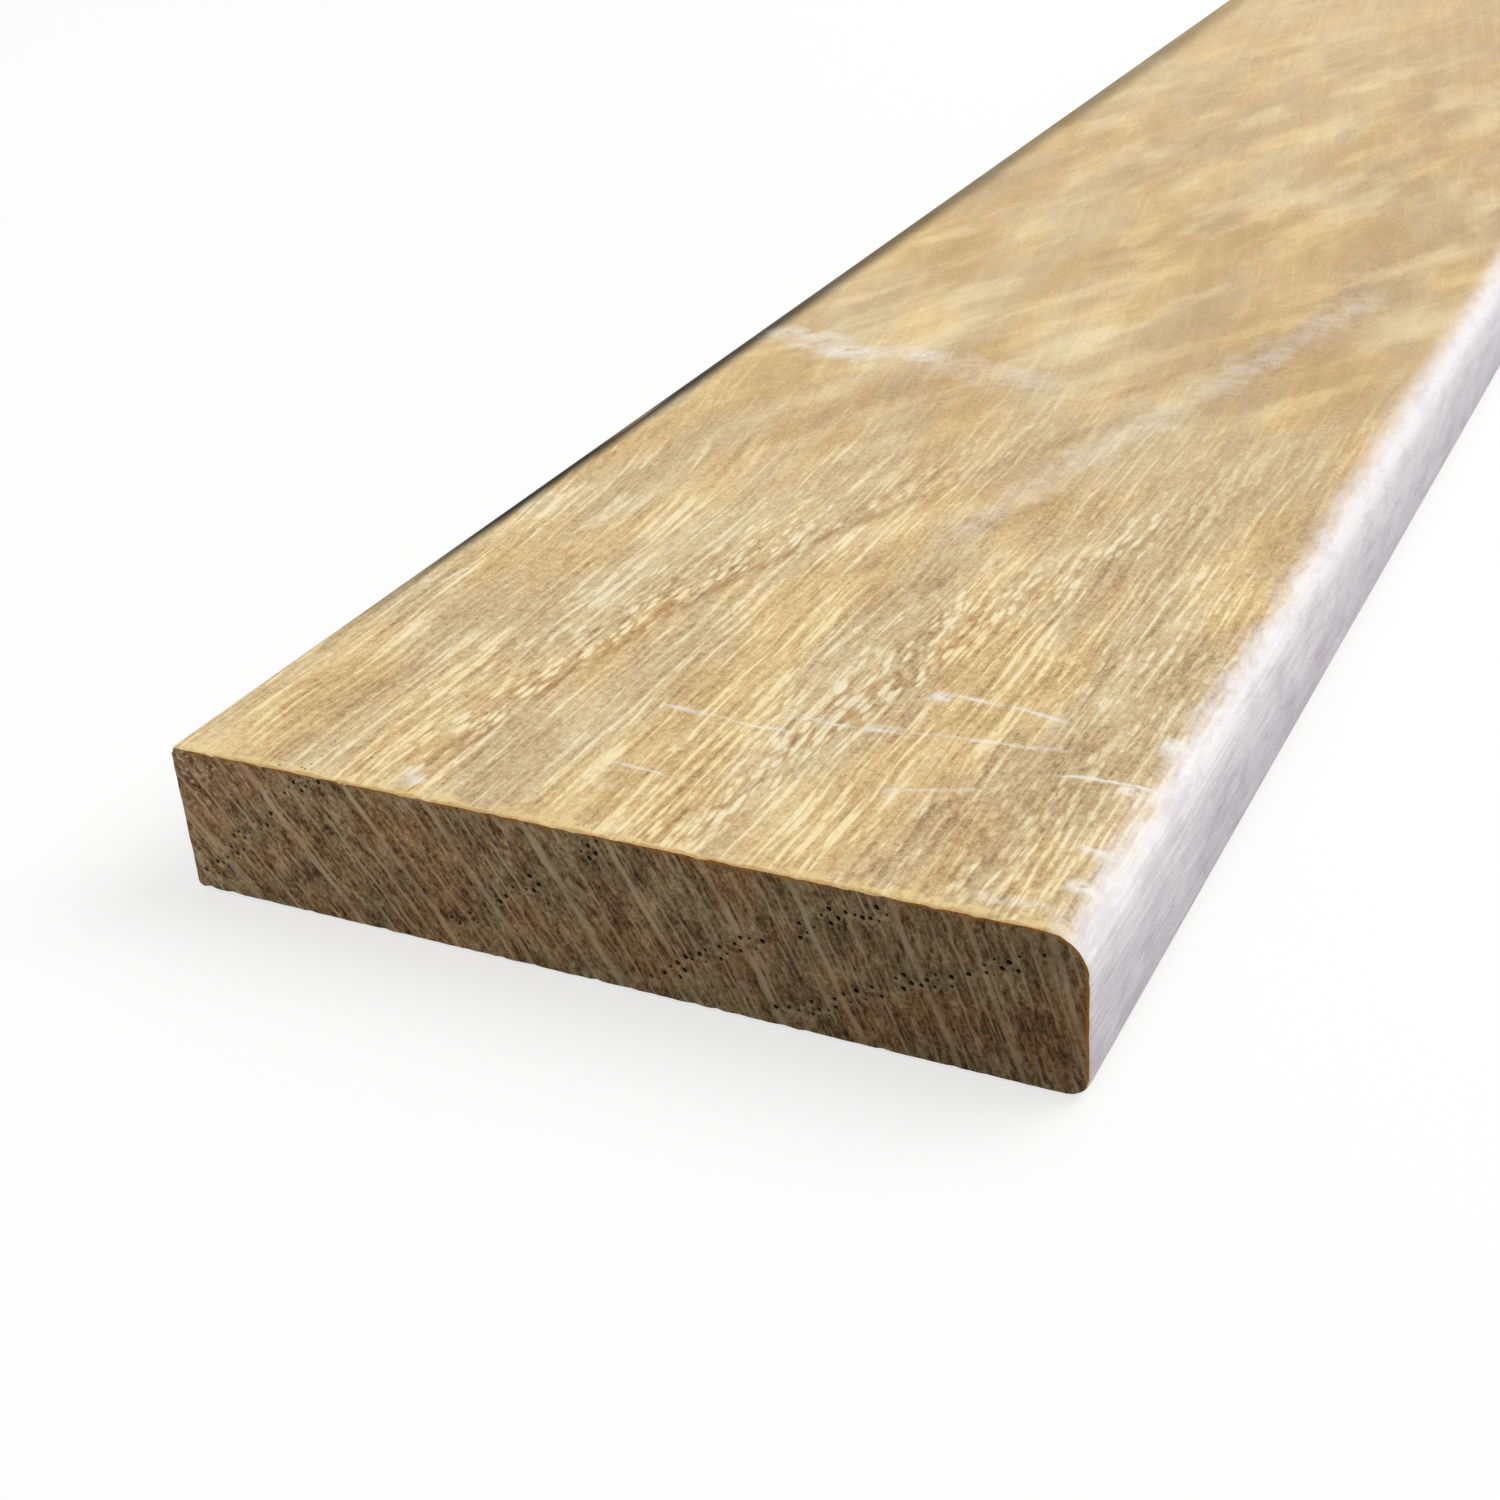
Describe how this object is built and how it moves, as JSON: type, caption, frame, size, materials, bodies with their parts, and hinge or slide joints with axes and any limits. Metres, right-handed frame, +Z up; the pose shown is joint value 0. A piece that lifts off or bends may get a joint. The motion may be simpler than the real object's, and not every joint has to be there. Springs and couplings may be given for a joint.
{
  "type": "window reveal trim",
  "caption": "Flat solid oak trim strip with a pencil-rounded long edge and square-cut ends, used to line or edge the reveal of a window opening.",
  "frame": {"origin": "middle of the bonding face, the flat underside of the strip", "axes": "+X along the strip, +Y across it towards the square edge that meets the window frame, with the rounded room-side edge at -Y, and +Z up out of the bonding face through the thickness"},
  "size_m": [1, 0.07, 0.012],
  "materials": {
    "oak": "planed pale oak, satin, with sawn ends and a pale washed room-side edge"
  },
  "bodies": {
    "root": {"oak_reveal_trim": "oak"}
  },
  "joints": []
}
